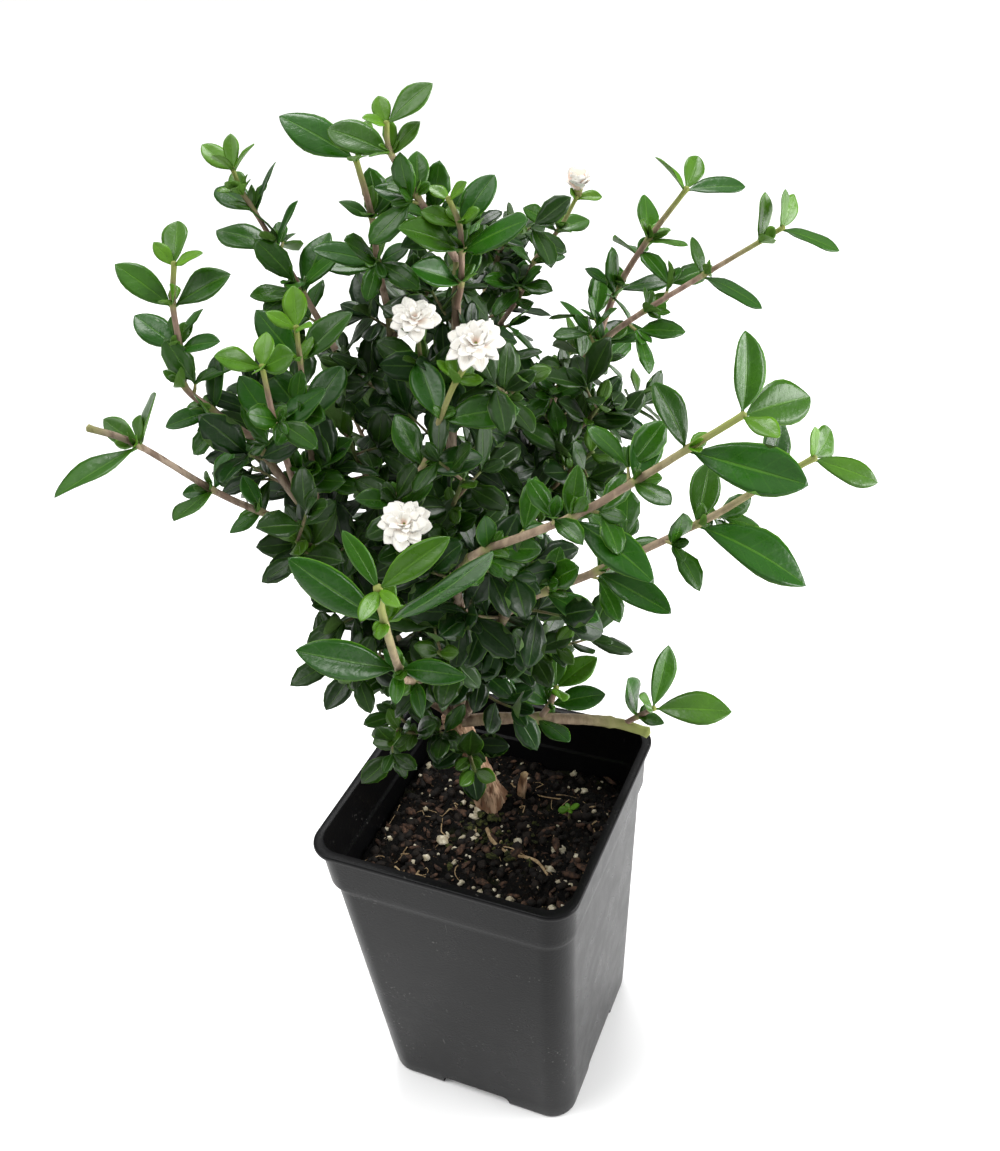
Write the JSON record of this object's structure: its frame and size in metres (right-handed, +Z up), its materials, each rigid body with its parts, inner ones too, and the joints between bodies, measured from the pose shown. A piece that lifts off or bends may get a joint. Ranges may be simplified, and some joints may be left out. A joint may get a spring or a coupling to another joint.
{
  "type": "potted serissa",
  "caption": "Small evergreen shrub with spreading leafy shoots and white double flowers, standing in a tapered square nursery pot of dark plastic.",
  "frame": {"origin": "middle of the pot's flat base, on the plane it stands on", "axes": "+Z up the plant, +X along the pot's front rim to the right, +Y away from the front wall"},
  "size_m": [0.2003, 0.201, 0.3831],
  "materials": {
    "pot_plastic": "matte moulded black plastic with light dust",
    "soil": "rough dark potting mix with bark bits",
    "bark": "peeling tan bark",
    "stem": "thin grey-brown bark",
    "leaf": "glossy green leaf with a paler midrib",
    "young_leaf": "glossy fresh green leaf",
    "inner_leaf": "glossy dark green leaf",
    "petal": "soft creamy white petal",
    "perlite": "rough white grain",
    "root": "thin pale root"
  },
  "bodies": {
    "root": {"pot": "pot_plastic", "soil": "soil", "trunk": "bark", "stem_left": "stem", "stem_back_left": "stem", "stem_centre": "stem", "stem_back": "stem", "stem_right": "stem", "stem_front_right": "stem", "stem_low_right": "stem", "far_left_shoot": "young_leaf", "left_shoot": "young_leaf", "upper_left_shoot": "young_leaf", "top_left_shoot": "young_leaf", "top_shoot": "young_leaf", "upper_mid_shoot": "young_leaf", "bud_shoot": "young_leaf", "right_upper_shoot": "young_leaf", "right_shoot": "leaf", "middle_right_shoot": "leaf", "lower_right_shoot": "leaf", "low_branch": "leaf", "low_side_shoot": "leaf", "low_upright_shoot": "leaf", "foreground_shoot": "leaf", "flower_shoot": "leaf", "centre_left_shoot": "young_leaf", "front_left_shoot": "young_leaf", "inner_twig_front_left": "inner_leaf", "inner_twig_left": "inner_leaf", "lower_twig_front_left": "inner_leaf", "inner_twig_low_left": "inner_leaf", "inner_twig_front": "inner_leaf", "low_twig_right": "inner_leaf", "inner_twig_centre": "inner_leaf", "upper_twig_centre": "inner_leaf", "upper_twig_left": "inner_leaf", "upper_twig_inner": "inner_leaf", "inner_twig_back_left": "inner_leaf", "inner_twig_back": "inner_leaf", "upper_twig_back": "inner_leaf", "inner_twig_right": "inner_leaf", "upper_twig_right": "inner_leaf", "trunk_twig_front": "inner_leaf", "trunk_twig_left": "inner_leaf", "back_twig_low": "inner_leaf", "back_twig_middle": "inner_leaf", "back_twig_left": "inner_leaf", "back_twig_right": "inner_leaf", "back_twig_top": "inner_leaf", "flower_twig_low": "inner_leaf", "flower_twig_high": "inner_leaf", "flower_low": "petal", "flower_left": "petal", "flower_right": "petal", "flower_bud": "petal", "cut_stub": "bark", "surface_root": "root", "seedling": "young_leaf", "perlite_grain": "perlite"}
  },
  "joints": []
}
